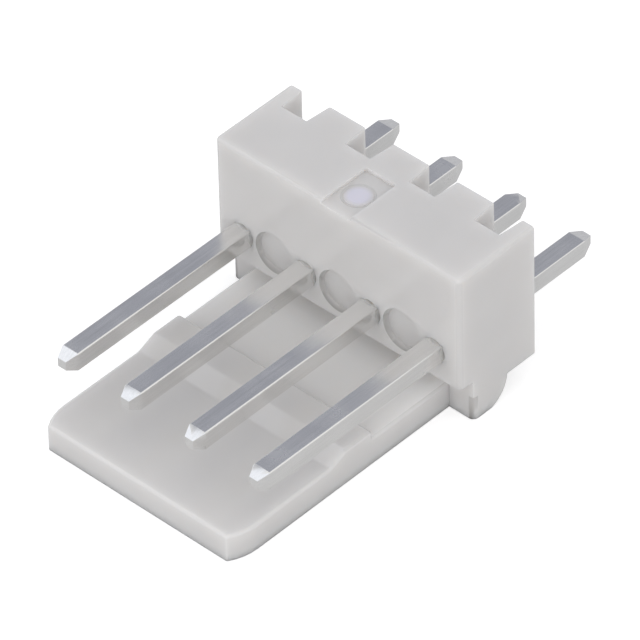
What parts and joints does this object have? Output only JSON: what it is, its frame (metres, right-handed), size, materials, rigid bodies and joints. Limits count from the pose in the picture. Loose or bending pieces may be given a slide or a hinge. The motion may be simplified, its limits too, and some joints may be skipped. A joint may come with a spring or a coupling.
{
  "type": "wire to board connector header",
  "caption": "Straight through-hole header: moulded block with standoffs and a ramped friction lock wall on a root rib, square pins passing through on a fine pitch.",
  "frame": {"origin": "centre of the bounding box in X and Y, at the flat outer face of the lock wall (z = 0)", "axes": "+X along the row of pins, +Y from the mating tips to the solder tails, +Z from the lock wall up to the block's top"},
  "size_m": [0.0096, 0.0152, 0.0058],
  "materials": {
    "moulding": "satin natural nylon",
    "tinned_metal": "bright tin plate over brass"
  },
  "bodies": {
    "root": {"housing": "moulding", "contact_pin_1": "tinned_metal", "contact_pin_2": "tinned_metal", "contact_pin_3": "tinned_metal", "contact_pin_4": "tinned_metal"}
  },
  "joints": []
}
